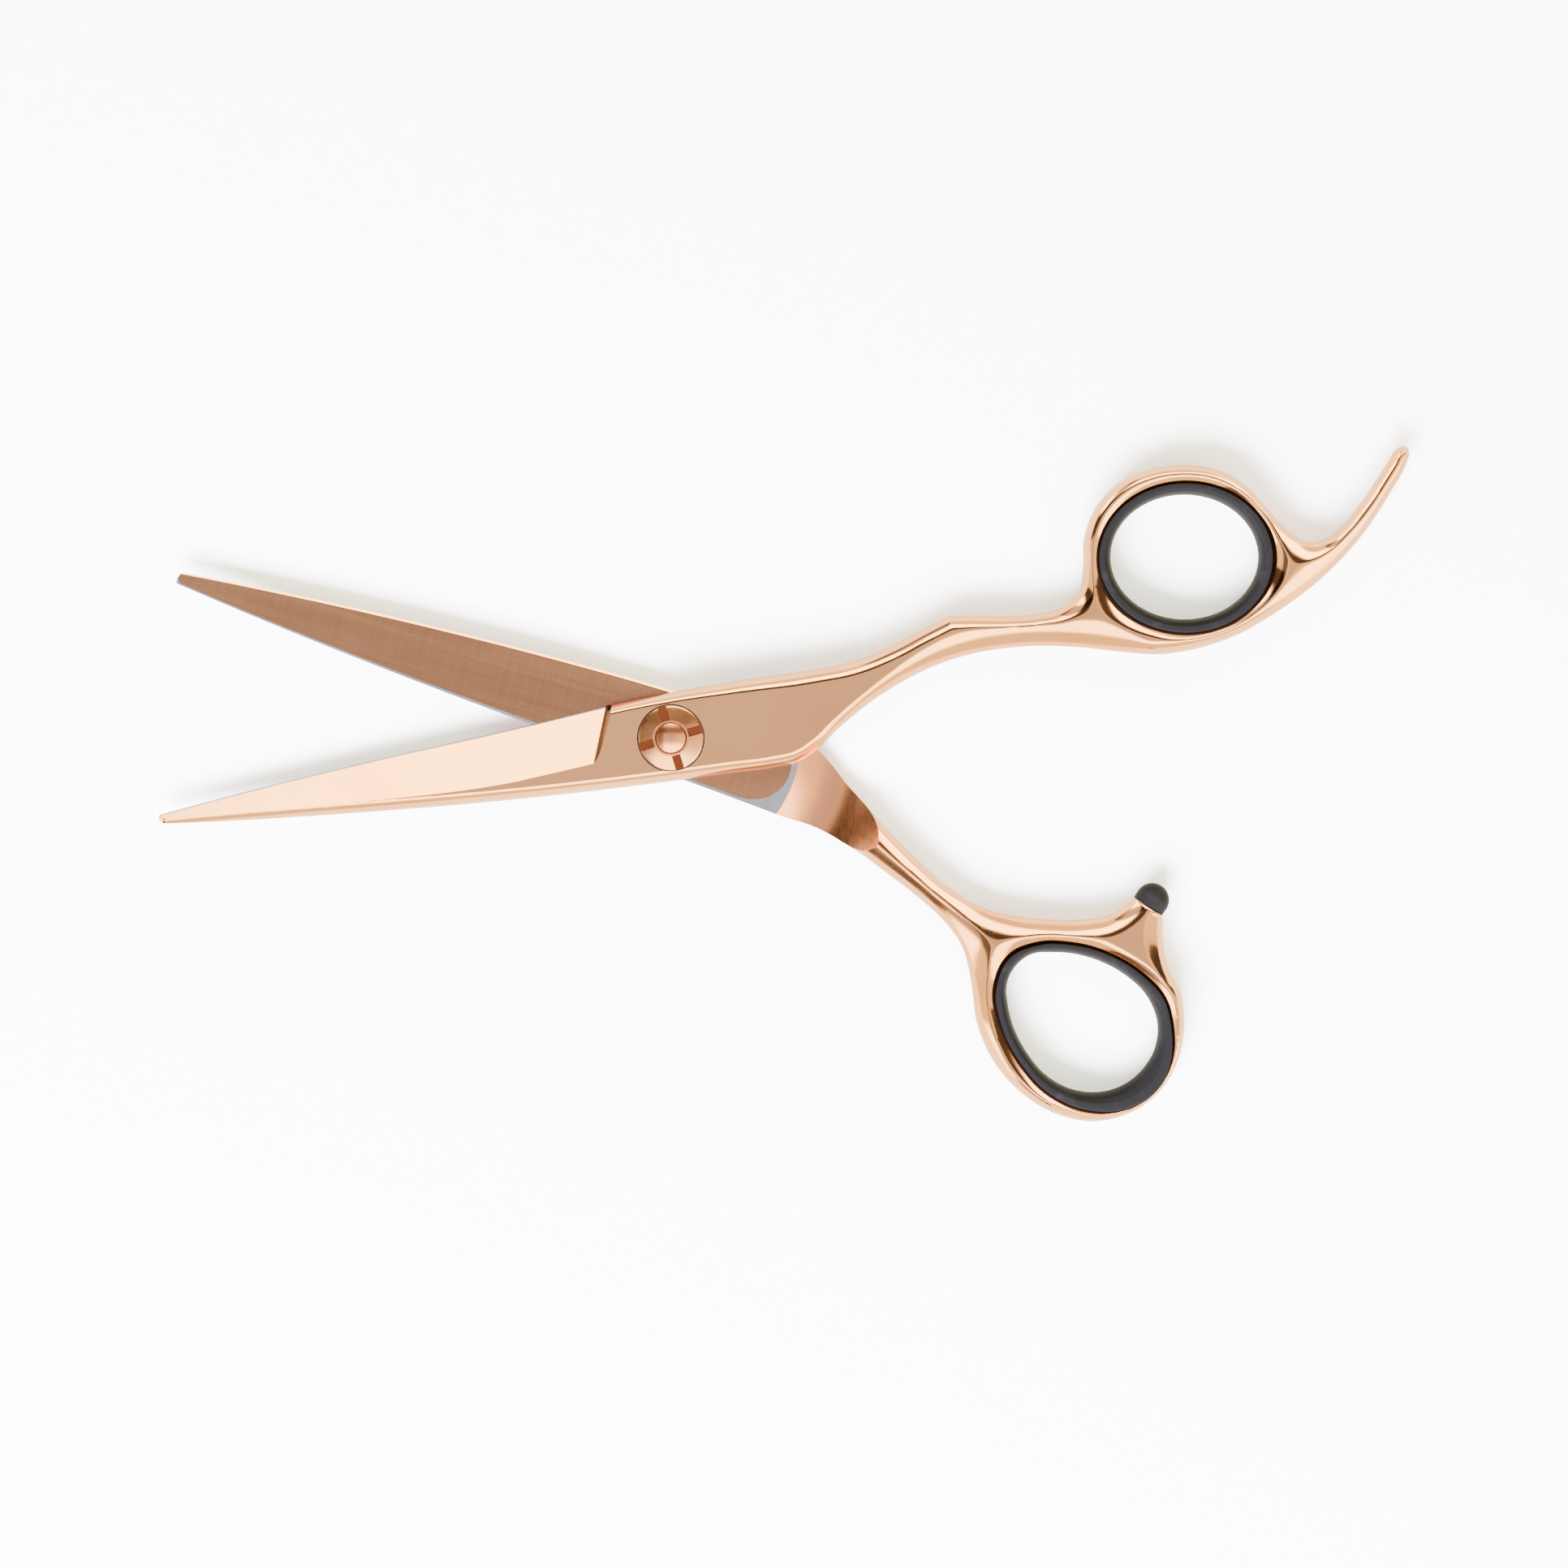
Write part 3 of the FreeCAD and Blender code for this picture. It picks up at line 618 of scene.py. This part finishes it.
def thumb_half(slots):
    outer, hole = half_outline("thumb_blade", "thumb_handle", -1)

    def flanks(sides, holes, x, y):
        middle = sides.mean(axis=1)
        low, high = BUMPER_SEAT_BOX
        seat = ((middle > low) & (middle < high)).all(axis=1)
        lower = lower_side(sides, (-65.5, 20.9), (63.4, -22.2))
        ring = smooth(38, 46, x)
        web, boss = around(x, y, THUMB_WEB, 12), around(x, y, THUMB_BOSS, 9)
        low_width = 1.4 + 2.4 * smooth(14, 24, x) - 2.2 * ring + 1.6 * web + 1.2 * boss
        high_width = 1.3 + 2.5 * smooth(14, 24, x) - 0.6 * ring + 1.0 * web - 0.3 * boss
        hole_width = 2.4 + 1.0 * smooth(46, 50, y - x + 88) + 1.0 * web - 0.3 * boss
        return [(sides[lower & ~seat], low_width, "outer"), (sides[~lower & ~seat], high_width, "outer"),
                (sides[seat], np.full(x.shape, 0.25), "outer"), (holes, hole_width, "hole")]

    def half_height(x, y):
        shank = 0.3 * smooth(30, 38, x) * (1 - smooth(40, 46, x))
        return HALF_H - shank - 0.45 * around(x, y, BUMPER_SEAT, 9) - blade_taper(x)

    half = forging("thumb_forging", outer, hole, flanks, half_height, slots)
    edge = between(outer, -65.2, GROUND_END_X, False)
    cut(half, ride_cutter(slots, -1))
    cut(half, blade_cutter(slots, -1, -80, 2))
    ground(half, slots, edge, between(outer, -64.6, EASE_TO_X, True), -1, -1, THUMB_PLUNGE)
    pocket = [(x, y + land_width(x)) for x, y in edge]
    pocket += spline([
        (-8, -1.5), (0, -4.5), (6.5, -6.9), (9, -7.8), (11.1, -8.1), (13.2, -7.6), (15.1, -6.0),
        (15.95, -3.6), (16.2, 1), (14, 6), (11, 12),
    ])
    pocket += [(11, 12), (-70, 34)]
    floor = RIDE_Z - RIDE_GAP
    cut(half, prism("pocket", pocket, floor - HOLLOW_DEPTH, floor + 1, slots, HOLLOW))
    bored(half, KEY_R, -1.0, RIDE_Z + 1, slots)
    bored(half, HEAD_SEAT_R, -2.0, HEAD_SEAT_TOP, slots)
    bored(half, WASHER_SEAT_R, WASHER_SEAT_FLOOR, RIDE_Z + 2, slots)
    shade(half)
    return half


def spline(points, steps=8):
    """Catmull-Rom curve through points."""
    p = np.array([points[0], *points, points[-1]], float)
    t = np.linspace(0, 1, steps, endpoint=False)[:, None]
    curve = []
    for a, b, c, d in zip(p, p[1:], p[2:], p[3:]):
        curve.append(b + t * (c - a) / 2 + t ** 2 * (a - 2.5 * b + 2 * c - d / 2)
                     + t ** 3 * (1.5 * (b - c) + (d - a) / 2))
    return [tuple(q) for q in np.concatenate(curve)]


def land_width(x):
    """Width of the bare land along a cutting edge, from the tip to the plunge."""
    return 0.32 + 0.22 * (x + 68) / 60


# ---- rubber -------------------------------------------------------------------------------------
def round_trip(loop, centre, angles):
    """The loop's distance from its centre in each direction."""
    away = loop - centre
    turn = np.arctan2(away[:, 1], away[:, 0])
    order = np.argsort(turn)
    return np.interp(angles, turn[order], np.hypot(*away[order].T), period=2 * math.pi)


def insert(name, node, body, top, material):
    """Ring insert with a flat flange, a fine bead, and a grip that curves in to the finger."""
    loops = chains(section(node, RIDE_Z + 1.5))
    centre = (loops[1].max(axis=0) + loops[1].min(axis=0)) / 2
    angles = np.linspace(-math.pi, math.pi, 320, endpoint=False)
    far = round_trip(even(loops[0], STEP), centre, angles)
    near = round_trip(even(loops[1], STEP), centre, angles)
    upper = [(t, top + z) for t, z in INSERT_SECTION] + [(1.0, RIDE_Z + 0.1)]
    profile = upper + [(t, 2 * RIDE_Z - z) for t, z in reversed(upper)]
    points, faces = [], []
    for k, turn in enumerate(angles):
        for t, z in profile:
            radius = far[k] + (near[k] - far[k]) * t
            points.append((centre[0] + radius * math.cos(turn), centre[1] + radius * math.sin(turn), z))
    count = len(profile)
    for k in range(len(angles)):
        a, b = k * count, (k + 1) % len(angles) * count
        for m in range(count):
            n = (m + 1) % count
            faces.append((a + m, a + n, b + n, b + m))
    obj = solid(name, points, faces, [material], [0] * len(faces))
    obj.data.shade_smooth()
    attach(obj, body)
    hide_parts(node)
    return obj


def bumper_dome():
    """Moulded stop: a short barrel with a round end, bedded on its boss."""
    profile = [(0, -0.7), (2.1, -0.7), (2.2, -0.1), (2.25, 0.1), (BUMPER_R, BUMPER_RISE)]
    height, steps = 2.25, 14
    for k in range(1, steps):
        turn = math.pi / 2 * k / steps
        profile.append((BUMPER_R * math.cos(turn), BUMPER_RISE + height * math.sin(turn)))
    profile += [(0, BUMPER_RISE + height)]
    obj = lathe("bumper_dome", profile, [rubber], [0] * (len(profile) - 1), steps=96)
    obj.data.shade_smooth()
    turn = math.radians(BUMPER_TURN)
    way = Vector((math.cos(turn), math.sin(turn), 0))
    obj.rotation_mode = "QUATERNION"
    obj.rotation_quaternion = way.to_track_quat("Z", "Y")
    obj.location = Vector((BUMPER_SEAT[0], BUMPER_SEAT[1], RIDE_Z)) * MM
    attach(obj, "thumb_half")
    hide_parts("bumper")


# ---- nut and post -------------------------------------------------------------------------------
def nut(slots):
    """Dished nut with four key slots from its hub to its rim."""
    profile = [
        (0, NUT_BASE), (NUT_R - 0.12, NUT_BASE), (NUT_R, NUT_BASE + 0.12), (NUT_R, NUT_RIM - 0.12),
        (NUT_R - 0.04, NUT_RIM - 0.04), (NUT_FACE_R, NUT_RIM),
    ]
    for k in range(1, 11):
        inwards = k / 10
        radius = NUT_FACE_R - (NUT_FACE_R - NUT_HUB_R) * inwards
        profile.append((radius, NUT_RIM + (NUT_HUB - NUT_RIM) * inwards ** 0.93))
    profile += [(2.12, NUT_HUB), (2.08, NUT_HUB - 0.04), (2.06, NUT_HUB - 0.2), (0, NUT_HUB - 0.2)]
    # The nut's base, sides, rim band and hub step take the SEAT slot, whose darker colour is painted shade.
    body = lathe("nut_look", profile, slots, [SEAT] * 3 + [TURNED] * (len(profile) - 5) + [SEAT])
    bore = [(0, 5.0), (NUT_BORE_R, 5.0), (NUT_BORE_R, 8.0), (0, 8.0)]
    cut(body, lathe("bore", bore, slots, [SEAT] * 3, steps=128))
    for quarter in range(4):
        turn = math.radians(NUT_TURN + 90 * quarter)
        way = np.array([math.cos(turn), math.sin(turn)])
        across = np.array([-math.sin(turn), math.cos(turn)]) * NUT_SLOT_W / 2
        inner, outer = way * NUT_SLOT_R, way * (NUT_R + 1.7)
        corners = [inner - across, outer - across, outer + across, inner + across]
        # The key slots take the SEAT slot, whose darker colour is painted shade.
        cut(body, prism("key_slot", corners, NUT_SLOT_FLOOR, 8.0, slots, SEAT))
    shade(body, 40)
    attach(body, "nut")
    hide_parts("tension_nut")


def post(slots):
    """Keyed screw: flush head below, domed and finely turned end on top."""
    profile = [
        (0, 0.0), (HEAD_R - 0.2, 0.0), (HEAD_R, 0.2), (HEAD_R, HEAD_H), (2.2, HEAD_H), (2.2, 2.4),
        (POST_R, 2.4), (POST_R, POST_TOP - 0.06), (POST_R - 0.04, POST_TOP),
    ]
    steps = 12
    for k in range(1, steps):
        out = 1 - k / steps
        profile.append(((POST_R - 0.04) * out, POST_TOP + DOME_H * (1 - out ** 2)))
    profile += [(0, POST_TOP + DOME_H)]
    body = lathe("post_look", profile, slots, [TURNED] * (len(profile) - 1), steps=192)
    shade(body, 35)
    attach(body, "thumb_half")
    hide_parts("pivot_post")


# ---- materials ----------------------------------------------------------------------------------
class Nodes:
    """Short calls for building a node tree."""

    def __init__(self, tree):
        self.tree = tree
        tree.nodes.clear()

    def add(self, kind, **settings):
        node = self.tree.nodes.new(kind)
        for name, value in settings.items():
            setattr(node, name, value)
        return node

    def link(self, start, end):
        self.tree.links.new(start, end)

    def math(self, operation, a, b=None, c=None, clamp=False):
        node = self.add("ShaderNodeMath", operation=operation, use_clamp=clamp)
        for socket, value in zip(node.inputs, (a, b, c)):
            if value is None:
                continue
            if isinstance(value, (int, float)):
                socket.default_value = value
            else:
                self.link(value, socket)
        return node.outputs[0]

    def ramp(self, value, low, high, out_low=0.0, out_high=1.0):
        node = self.add("ShaderNodeMapRange", interpolation_type="SMOOTHSTEP")
        self.link(value, node.inputs["Value"])
        node.inputs["From Min"].default_value = low
        node.inputs["From Max"].default_value = high
        node.inputs["To Min"].default_value = out_low
        node.inputs["To Max"].default_value = out_high
        return node.outputs["Result"]

    def noise(self, where, scale, detail=2.0, stretch=None):
        if stretch:
            mapping = self.add("ShaderNodeMapping")
            mapping.inputs["Scale"].default_value = stretch
            self.link(where, mapping.inputs["Vector"])
            where = mapping.outputs["Vector"]
        node = self.add("ShaderNodeTexNoise")
        node.inputs["Scale"].default_value = scale
        node.inputs["Detail"].default_value = detail
        self.link(where, node.inputs["Vector"])
        return node.outputs["Fac"]

    def mix(self, factor, one, two):
        node = self.add("ShaderNodeMix", data_type="RGBA")
        self.link(factor, node.inputs["Factor"])
        node.inputs[6].default_value = (*one, 1)
        node.inputs[7].default_value = (*two, 1)
        return node.outputs[2]


def new_material(name):
    """A material with one principled shader: the material, its nodes, the shader and object coordinates."""
    material = bpy.data.materials.new(name)
    material.use_nodes = True
    n = Nodes(material.node_tree)
    shader = n.add("ShaderNodeBsdfPrincipled")
    out = n.add("ShaderNodeOutputMaterial")
    n.link(shader.outputs[0], out.inputs[0])
    where = n.add("ShaderNodeTexCoord").outputs["Object"]
    return material, n, shader, where


def bump(n, shader, height, strength, distance):
    relief = n.add("ShaderNodeBump")
    relief.inputs["Strength"].default_value = strength
    relief.inputs["Distance"].default_value = distance
    n.link(height, relief.inputs["Height"])
    n.link(relief.outputs[0], shader.inputs["Normal"])


def metal(name, colour, worn, roughness, spread, grain=(1, 1, 1), grain_scale=900.0):
    """Coated or bare metal: colour drifts to worn in patches, and fine grain varies its roughness."""
    material, n, shader, where = new_material(name)
    patches = n.ramp(n.noise(where, 60, 3), 0.42, 0.7)
    grains = n.noise(where, grain_scale, 2, stretch=grain)
    n.link(n.mix(patches, colour, worn), shader.inputs["Base Color"])
    rough = n.math("MULTIPLY_ADD", grains, spread, roughness - spread / 2)
    n.link(rough, shader.inputs["Roughness"])
    shader.inputs["Metallic"].default_value = 1.0
    bump(n, shader, grains, 0.02, 0.0001)
    return material


def brushed(name, colour, dark, roughness):
    """Satin metal with fine straight scratches along and across the blade."""
    material, n, shader, where = new_material(name)
    mapping = n.add("ShaderNodeMapping")
    mapping.inputs["Rotation"].default_value = (0, 0, math.radians(16))
    n.link(where, mapping.inputs["Vector"])
    way = mapping.outputs["Vector"]
    along = n.noise(way, 900, 5, stretch=(0.04, 9, 1))
    across = n.noise(way, 900, 5, stretch=(8, 0.08, 1))
    broad = n.noise(way, 120, 2, stretch=(0.25, 1.2, 1))
    lines = n.math("MULTIPLY_ADD", across, 0.25, n.math("MULTIPLY", broad, 0.4))
    lines = n.math("MULTIPLY_ADD", along, 0.4, lines)
    n.link(n.mix(n.ramp(lines, 0.32, 0.78), dark, colour), shader.inputs["Base Color"])
    n.link(n.math("MULTIPLY_ADD", lines, 0.16, roughness - 0.08), shader.inputs["Roughness"])
    shader.inputs["Metallic"].default_value = 1.0
    bump(n, shader, lines, 0.05, 0.00005)
    return material


def soft(name, colour, dusty, roughness, grain):
    """Rubber or plastic with a fine moulded grain and a little dust."""
    material, n, shader, where = new_material(name)
    fine = n.noise(where, 5000, 2)
    dust = n.ramp(n.noise(where, 350, 4), 0.55, 0.8)
    n.link(n.mix(dust, colour, dusty), shader.inputs["Base Color"])
    n.link(n.math("MULTIPLY_ADD", dust, 0.15, roughness), shader.inputs["Roughness"])
    shader.inputs["Specular IOR Level"].default_value = 0.07
    shader.inputs["Specular Tint"].default_value = (0.8, 0.8, 1.0, 1)
    bump(n, shader, fine, grain, 0.00005)
    return material


# ---- studio -------------------------------------------------------------------------------------
def studio():
    """Warm dome with two soft boxes, a greyer patch straight overhead and two dark bars."""
    world = bpy.data.worlds.new("studio")
    world.use_nodes = True
    bpy.context.scene.world = world
    n = Nodes(world.node_tree)
    out = n.add("ShaderNodeOutputWorld")
    background = n.add("ShaderNodeBackground")
    n.link(background.outputs[0], out.inputs[0])
    parts = n.add("ShaderNodeSeparateXYZ")
    n.link(n.add("ShaderNodeTexCoord").outputs["Generated"], parts.inputs[0])
    x, y, z = parts.outputs
    back = n.math("MULTIPLY", y, -1.0)
    side = n.math("SQRT", n.math("ADD", n.math("MULTIPLY", x, x), n.math("MULTIPLY", y, y)))
    far_box = n.math("MULTIPLY", n.ramp(y, 0.52, 0.58), n.ramp(y, 0.82, 0.92, FAR_BOX, 0.0))
    near_box = n.math("MULTIPLY", n.ramp(back, 0.20, 0.28), n.ramp(back, 0.60, 0.76, NEAR_BOX, 0.0))
    end_bar = n.math("MULTIPLY", n.ramp(x, -0.66, -0.56), n.ramp(x, -0.34, -0.28, 1.0, 0.0))
    dome = n.math("ADD", n.math("ADD", far_box, near_box), DOME_LIGHT)
    dome = n.math("MULTIPLY", dome, n.math("MULTIPLY_ADD", end_bar, -END_BAR_SHADE, 1.0))
    bar = n.math("MULTIPLY", n.ramp(y, 0.17, 0.21), n.ramp(y, 0.46, 0.54, 1.0, 0.0))
    dome = n.math("MULTIPLY", dome, n.math("MULTIPLY_ADD", bar, -BAR_SHADE, 1.0))
    open_sky = n.ramp(side, 0.20, 0.26)
    lit = n.math("ADD", n.math("MULTIPLY", dome, open_sky), n.ramp(side, 0.20, 0.26, PATCH_LIGHT, 0.0))
    shade_out = n.math("MULTIPLY", n.math("SUBTRACT", 1.0, bar), n.math("SUBTRACT", 1.0, end_bar))
    warmth = n.math("MULTIPLY", open_sky, shade_out)
    n.link(n.mix(warmth, NEUTRAL, WARM), background.inputs["Color"])
    n.link(lit, background.inputs["Strength"])


def paper_floor():
    """Pale paper. Reflections see it less bright than the eye does, so the metal keeps its colour."""
    bpy.ops.mesh.primitive_plane_add(size=4.0, location=(0.015, 0, -0.00002))
    plane = bpy.context.object
    plane.name = "studio_floor"
    material, n, shader, where = new_material("floor_paper")
    seen = n.math("SUBTRACT", 1.0, n.add("ShaderNodeLightPath").outputs["Is Glossy Ray"])
    paper = n.mix(n.noise(where, 300, 3), (0.84, 0.835, 0.98), (0.87, 0.865, 1.0))
    tint = n.add("ShaderNodeMix", data_type="RGBA")
    n.link(seen, tint.inputs["Factor"])
    tint.inputs[6].default_value = (0.12, 0.12, 0.12, 1)
    n.link(paper, tint.inputs[7])
    n.link(tint.outputs[2], shader.inputs["Base Color"])
    shader.inputs["Roughness"].default_value = 0.9
    shader.inputs["Specular IOR Level"].default_value = 0.1
    n.link(n.mix(seen, WARM, (0.90, 0.92, 1.0)), shader.inputs["Emission Color"])
    glow = n.math("MULTIPLY_ADD", seen, FLOOR_GLOW - FLOOR_MIRRORED, FLOOR_MIRRORED)
    n.link(glow, shader.inputs["Emission Strength"])
    plane.data.materials.append(material)


def camera():
    data = bpy.data.cameras.new("camera")
    data.lens = LENS
    data.sensor_width = SENSOR
    data.clip_start = 0.01
    obj = bpy.data.objects.new("camera", data)
    bpy.context.scene.collection.objects.link(obj)
    away = FRAME_WIDTH * LENS / SENSOR + FRAME_Z
    obj.location = Vector((*FRAME_CENTRE, away)) * MM
    bpy.context.scene.camera = obj


def key_light():
    data = bpy.data.lights.new("key", "AREA")
    data.shape = "RECTANGLE"
    data.size, data.size_y = 0.9, 0.5
    data.energy = KEY_POWER
    obj = bpy.data.objects.new("key", data)
    bpy.context.scene.collection.objects.link(obj)
    obj.location = (-0.25, -0.75, 0.75)
    obj.visible_glossy = False
    aim = Vector((0.02, 0, 0)) - obj.location
    obj.rotation_euler = aim.to_track_quat("-Z", "Y").to_euler()


ROSE, ROSE_WORN = (0.94, 0.435, 0.215), (0.88, 0.385, 0.18)
polished = metal("rose_gold_polished", ROSE, ROSE_WORN, 0.10, 0.05)
ground_face = metal("rose_gold_ground", ROSE, ROSE_WORN, 0.16, 0.08, grain=(1, 12, 1))
# Painted shade: a much darker rose gold on the SEAT faces (bores, seats, the nut's sides and key slots),
# standing in for the shade in those recesses.
recess_painted_shade = metal("rose_gold_recess_painted_shade", (0.28, 0.078, 0.036), (0.19, 0.052, 0.024), 0.22, 0.08)
land = metal("bare_ground_steel", (0.42, 0.42, 0.66), (0.35, 0.35, 0.55), 0.30, 0.15, grain=(14, 1, 1))
scoop = metal("rose_gold_satin", (0.84, 0.35, 0.215), (0.74, 0.295, 0.175), 0.22, 0.12, grain=(6, 1, 1))
hollow = brushed("rose_gold_brushed", (0.355, 0.177, 0.135), (0.24, 0.112, 0.084), 0.34)
# Painted shade: the plunge wall is near black, standing in for the dark reflection and shade it shows.
wall = metal("rose_gold_plunge_painted_shade", (0.042, 0.016, 0.013), (0.026, 0.010, 0.008), 0.25, 0.1)
turned = metal("rose_gold_turned", (0.82, 0.345, 0.195), (0.71, 0.295, 0.145), 0.21, 0.06, grain_scale=2500)
rubber = soft("black_rubber", (0.0050, 0.0047, 0.0062), (0.0085, 0.008, 0.0105), 0.46, 0.12)
plastic = soft("bearing_plastic", (0.80, 0.79, 0.75), (0.72, 0.71, 0.66), 0.5, 0.05)
steel = metal("spring_steel", (0.55, 0.56, 0.58), (0.45, 0.45, 0.47), 0.3, 0.15)
brass = metal("cage_brass", (0.80, 0.62, 0.28), (0.65, 0.47, 0.2), 0.35, 0.2)
ball = metal("ball_steel", (0.75, 0.76, 0.78), (0.7, 0.71, 0.73), 0.06, 0.03)

slots = [polished, ground_face, land, scoop, hollow, recess_painted_shade, wall, turned]
finger = finger_half(slots)
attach(finger, "finger_half")
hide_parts("finger_blade", "finger_handle")
thumb = thumb_half(slots)
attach(thumb, "thumb_half")
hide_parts("thumb_blade", "thumb_handle")
insert("finger_ring_rubber", "finger_insert", "finger_half", FINGER_INSERT_TOP, rubber)
insert("thumb_ring_rubber", "thumb_insert", "thumb_half", THUMB_INSERT_TOP, rubber)

nut(slots)
post(slots)
bumper_dome()
for node, material in {
    "pivot_bush": plastic, "ride_washer": plastic, "lower_race": steel, "upper_race": steel,
    "click_spring": steel, "bearing_cage": brass, "bearing_balls": ball,
}.items():
    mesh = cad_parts[node].data
    mesh.materials.clear()
    mesh.materials.append(material)

studio()
paper_floor()
key_light()
camera()
